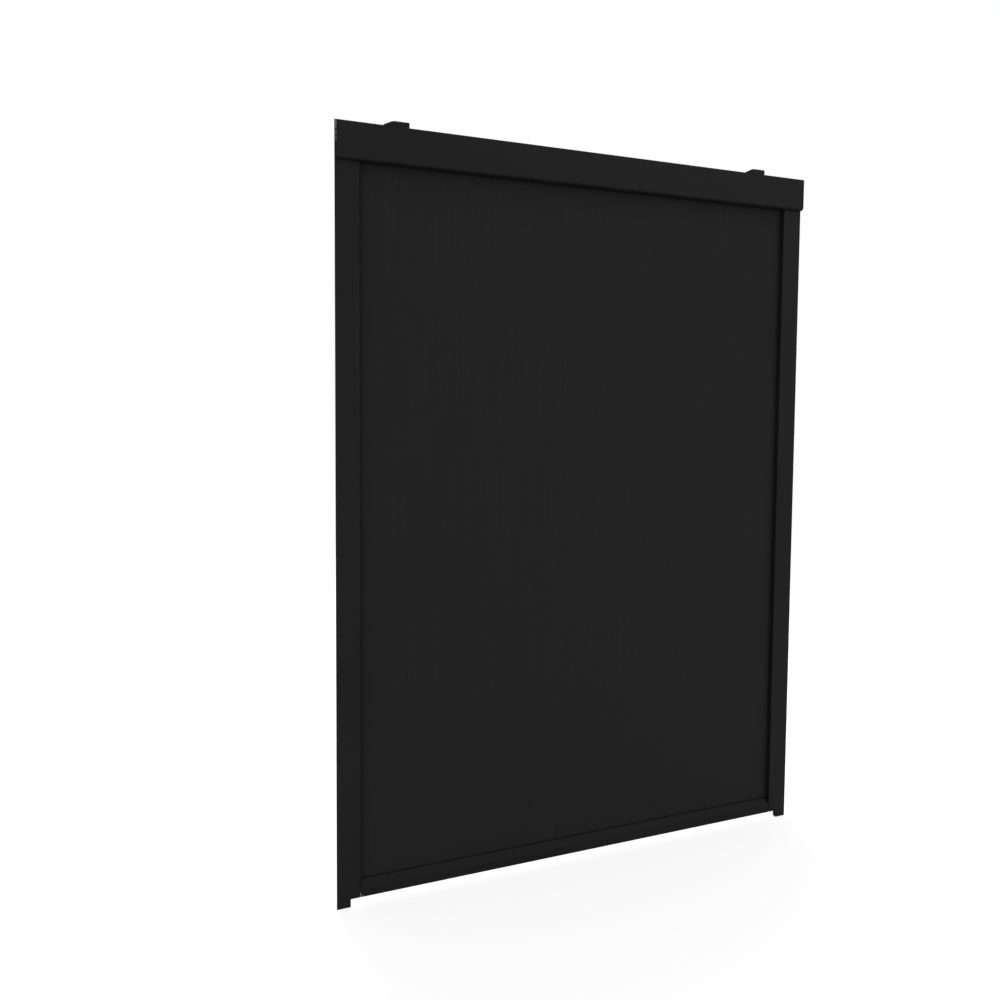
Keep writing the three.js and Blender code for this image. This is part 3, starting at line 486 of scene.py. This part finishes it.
def add_fabric_roll(material):
    """A spiral from the lock strip to the point where the cloth hangs free."""
    turn = np.linspace(ROLL_START, ROLL_END, ROLL_STEPS + 1)
    share = (turn - ROLL_START) / (ROLL_END - ROLL_START)
    radius = ROLL_INNER + (ROLL_OUTER - ROLL_INNER) * share
    arc = np.concatenate([[0], np.cumsum(np.diff(turn) * (radius[1:] + radius[:-1]) / 2)])
    xs = np.linspace(-FABRIC_HALF_WIDTH, FABRIC_HALF_WIDTH, ROLL_COLUMNS + 1)
    x, step = np.meshgrid(xs, np.arange(ROLL_STEPS + 1))
    x, step = x.ravel(), step.ravel()
    ripple = np.sin(2 * math.pi * (x * 4.7 + turn[step] * 0.6))
    slack = ROLL_SLACK * (1 + ripple) * (1 - share[step])

    def skin(offset):
        reach = radius[step] + slack + offset
        y = ROLLER_Y + reach * np.cos(turn[step])
        z = ROLLER_Z + reach * np.sin(turn[step])
        return np.stack([x, y, z], 1)

    half = FABRIC_THICKNESS / 2
    points = np.concatenate([skin(half), skin(-half)])
    uv = np.concatenate([np.stack([x, fabric_high.z + arc[-1] - arc[step]], 1)] * 2)
    faces = closed_sheet_faces(ROLL_COLUMNS, ROLL_STEPS)
    roll = new_piece("fabric_roll", points, faces, material, "roller", uv)
    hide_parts("fabric_wound")


# ---------------------------------------------------------------- the spring in the roller

SPRING_TURNS = 54
SPRING_WIRE = 1.2 * MM     # radius
END_TURNS = 2              # close-wound, at each end
END_PITCH = 2.2 * SPRING_WIRE
STEPS_PER_TURN = 24
WIRE_SIDES = 8


def add_spring(material):
    """A torsion spring with END_TURNS close-wound turns at each end."""
    low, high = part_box("roller_spring")
    coil = (high.z - low.z) / 2 - SPRING_WIRE
    count = SPRING_TURNS * STEPS_PER_TURN
    t = np.linspace(0, 1, count + 1)
    angle = 2 * math.pi * SPRING_TURNS * t
    dead = END_PITCH * END_TURNS
    ends = END_TURNS / SPRING_TURNS
    start, end = low.x + SPRING_WIRE, high.x - SPRING_WIRE
    along = np.interp(t, [0, ends, 1 - ends, 1], [start, start + dead, end - dead, end])
    points = []
    for side in range(WIRE_SIDES):
        around = 2 * math.pi * side / WIRE_SIDES
        reach = coil + SPRING_WIRE * math.cos(around)
        points.append(np.stack([
            along + SPRING_WIRE * math.sin(around),
            ROLLER_Y + reach * np.cos(angle),
            ROLLER_Z + reach * np.sin(angle),
        ], 1))
    points = np.stack(points, 1).reshape(-1, 3)
    faces = []
    for step in range(count):
        for side in range(WIRE_SIDES):
            a, b = step * WIRE_SIDES + side, step * WIRE_SIDES + (side + 1) % WIRE_SIDES
            faces.append((a, b, b + WIRE_SIDES, a + WIRE_SIDES))
    faces.append(tuple(reversed(range(WIRE_SIDES))))
    faces.append(tuple(count * WIRE_SIDES + side for side in range(WIRE_SIDES)))
    spring = new_piece("torsion_spring", points, faces, material, "roller")
    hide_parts("roller_spring")


# ---------------------------------------------------------------- brushes

TUFT_PITCH = 1.0 * MM      # along the strip
TUFT_ROWS = 3
BRISTLE_ROOT = 0.30 * MM   # radii
BRISTLE_TIP = 0.14 * MM
BACKING_DEPTH = 2.3 * MM
PILE_INSET = 1.15 * MM     # from the backing's edges to the outer rows
BRUSH_SEED = 7
BACKING_EDGE = 0.2 * MM
JITTER_UP = 0.35           # of the pitch
JITTER_ACROSS = 0.25 * MM
TIP_LEAN = 0.16 * MM
TIP_SHORT = 0.18 * MM


def add_brush(side, face, material, shuffle):
    """A strip of backing with rows of slightly splayed, tapered bristles across it."""
    node = f"channel_{side}_brush_{face}"
    low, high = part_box(node)
    root, tip, inward = (low.y, high.y, 1) if face == "front" else (high.y, low.y, -1)
    back = root + inward * BACKING_DEPTH
    edge = BACKING_EDGE
    root_corner, back_corner = root + inward * edge, back - inward * edge
    section = [
        (low.x, root_corner), (low.x + edge, root), (high.x - edge, root), (high.x, root_corner),
        (high.x, back_corner), (high.x - edge, back), (low.x + edge, back), (low.x, back_corner),
    ]
    if face == "back":
        section.reverse()
    points = [(x, y, z) for z in (low.z, high.z) for x, y in section]
    size = len(section)
    faces = [tuple(reversed(range(size))), tuple(range(size, 2 * size))]
    faces += [(i, (i + 1) % size, size + (i + 1) % size, size + i) for i in range(size)]

    heights = np.arange(low.z + TUFT_PITCH, high.z - TUFT_PITCH / 2, TUFT_PITCH)
    rows = np.linspace(low.x + PILE_INSET, high.x - PILE_INSET, TUFT_ROWS)
    x, z = (a.ravel() for a in np.meshgrid(rows, heights))
    count = len(x)
    z = z + shuffle.uniform(-JITTER_UP, JITTER_UP, count) * TUFT_PITCH
    x = x + shuffle.uniform(-JITTER_ACROSS, JITTER_ACROSS, count)
    lean_x, lean_z = shuffle.normal(0, TIP_LEAN, (2, count))
    reach = tip - inward * np.abs(shuffle.normal(0, TIP_SHORT, count))
    corners = []
    for level, radius in (("root", BRISTLE_ROOT), ("tip", BRISTLE_TIP)):
        at_tip = level == "tip"
        y = reach if at_tip else np.full(count, back - inward * 2 * edge)
        for k in range(3):
            angle = 2 * math.pi * k / 3 * inward
            corners.append(np.stack([
                x + at_tip * lean_x + radius * math.cos(angle),
                y,
                z + at_tip * lean_z - radius * math.sin(angle),
            ], 1))
    bristles = np.stack(corners, 1).reshape(-1, 3)
    first = len(points)
    points = np.concatenate([points, bristles])
    pattern = [(0, 1, 4, 3), (1, 2, 5, 4), (2, 0, 3, 5), (2, 1, 0), (3, 4, 5)]
    for bristle in range(count):
        base = first + 6 * bristle
        faces += [tuple(base + corner for corner in shape) for shape in pattern]
    brush = new_piece(f"brush_{side}_{face}", points, faces, material, "frame", smooth=False)
    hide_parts(node)


def add_brushes(material):
    shuffle = np.random.default_rng(BRUSH_SEED)
    for side in SIDES:
        for face in ("front", "back"):
            add_brush(side, face, material, shuffle)


# ---------------------------------------------------------------- dressing the CAD nodes

def add_finishes():
    coat, plastic, steel = powder_coat(), black_plastic(), black_steel()
    aluminium, zinc, rubber, cloth, pile = (
        mill_aluminium(), zinc_steel(), seal_rubber(), screen_fabric(), brush_pile()
    )
    fine, small = 0.15 * MM, 0.3 * MM
    by_material = [
        (coat, fine, ["headbox_front_cover", "headbox_back_rail", "hem_bar"]),
        (coat, fine, [f"channel_{side}_{part}" for side in SIDES for part in ("base", "cover")]),
        (plastic, small, [f"end_cap_{side}" for side in SIDES]),
        (plastic, small, [f"channel_{side}_foot" for side in SIDES]),
        (plastic, small, [f"hem_bar_end_{side}" for side in SIDES]),
        (plastic, small, [f"clip_{side}_lever" for side in SIDES]),
        (plastic, small, ["roller_spring_plug", "roller_idler_plug", "roller_spring_anchor"]),
        (plastic, fine, ["fabric_lock_strip", "hem_fabric_rod"]),
        (steel, small, [f"clip_{side}_plate" for side in SIDES]),
        (steel, fine, [f"clip_{side}_rivet" for side in SIDES]),
        (steel, 0.1 * MM, [f"end_cap_screw_{side}_{i}" for side in SIDES for i in (1, 2, 3)]),
        (aluminium, fine, ["roller_tube"]),
        (zinc, small, ["roller_spring_shaft", "roller_idler_pin", "hem_bar_ballast"]),
        (rubber, fine, ["hem_bar_seal"]),
    ]
    for material, edge, nodes in by_material:
        for node in nodes:
            dress(node, material, edge)
    add_hanging_fabric(cloth)
    add_fabric_roll(cloth)
    add_spring(zinc)
    add_brushes(pile)


# ---------------------------------------------------------------- floor, background and light

FLOOR_CLEAR = 1.1      # the floor is whole to this distance from the object,
FLOOR_EDGE = 3.6       # and has melted into the white background here
FLOOR_GLOW = 0.70
FLOOR_DROP = 0.2 * MM  # below the feet


def add_floor():
    bpy.ops.mesh.primitive_plane_add(size=2 * FLOOR_EDGE, location=(0, 0, -FLOOR_DROP))
    floor = bpy.context.object
    floor.name = "floor"
    shader = Shader("floor", roughness=0.9, specular=0.1)
    measure = shader.node("ShaderNodeVectorMath", {0: shader.place()}, operation="LENGTH")
    distance = measure.outputs["Value"]
    camera_ray = shader.node("ShaderNodeLightPath").outputs["Is Camera Ray"]
    shader.set(shader.surface, {
        "Alpha": shader.between(distance, 1, 0, FLOOR_CLEAR, FLOOR_EDGE),
        "Emission Color": (1, 1, 1, 1),
        "Emission Strength": shader.maths("MULTIPLY_ADD", camera_ray, FLOOR_GLOW, 0.0),
    })
    shader.finish(colour=(0.8, 0.8, 0.8, 1))
    floor.data.materials.append(shader.material)


def add_light(name, place, aim, size, watts):
    data = bpy.data.lights.new(name, "AREA")
    data.shape = "RECTANGLE"
    data.size, data.size_y = size
    data.energy = watts
    light = bpy.data.objects.new(name, data)
    bpy.context.scene.collection.objects.link(light)
    light.location = place
    light.rotation_euler = (Vector(aim) - Vector(place)).to_track_quat("-Z", "Y").to_euler()


AMBIENT = 0.36
LAMPS = [    # name, place, aim, size, watts
    ("overhead", (0, -0.9, 4.0), (0, 0, 0), (4, 4), 23),
    ("front", (0.8, -4.6, 0.75), (0, 0, 1.0), (4, 1.3), 23.5),
    ("front_right", (2.6, -3.4, 2.4), (0.2, 0, 0.9), (2, 2), 12),
    ("front_left", (-2.8, -2.4, 0.7), (0.3, 0, 0.9), (2, 1.2), 7.5),
    ("behind", (-0.6, 3.6, 2.2), (0, 0, 0.8), (3, 2.4), 90),
]


def add_lights():
    world = bpy.data.worlds.new("studio")
    bpy.context.scene.world = world
    world.use_nodes = True
    tree = world.node_tree
    seen = tree.nodes["Background"]
    seen.inputs["Color"].default_value = (1, 1, 1, 1)
    ambient = tree.nodes.new("ShaderNodeBackground")
    ambient.inputs["Strength"].default_value = AMBIENT
    path = tree.nodes.new("ShaderNodeLightPath")
    choose = tree.nodes.new("ShaderNodeMixShader")
    tree.links.new(path.outputs["Is Camera Ray"], choose.inputs["Fac"])
    tree.links.new(ambient.outputs[0], choose.inputs[1])
    tree.links.new(seen.outputs[0], choose.inputs[2])
    tree.links.new(choose.outputs[0], tree.nodes["World Output"].inputs["Surface"])
    for name, place, aim, size, watts in LAMPS:
        add_light(name, place, aim, size, watts)


bpy.context.scene.view_settings.view_transform = "Standard"
bpy.context.scene.view_settings.look = "None"

add_camera()
add_finishes()
add_floor()
add_lights()
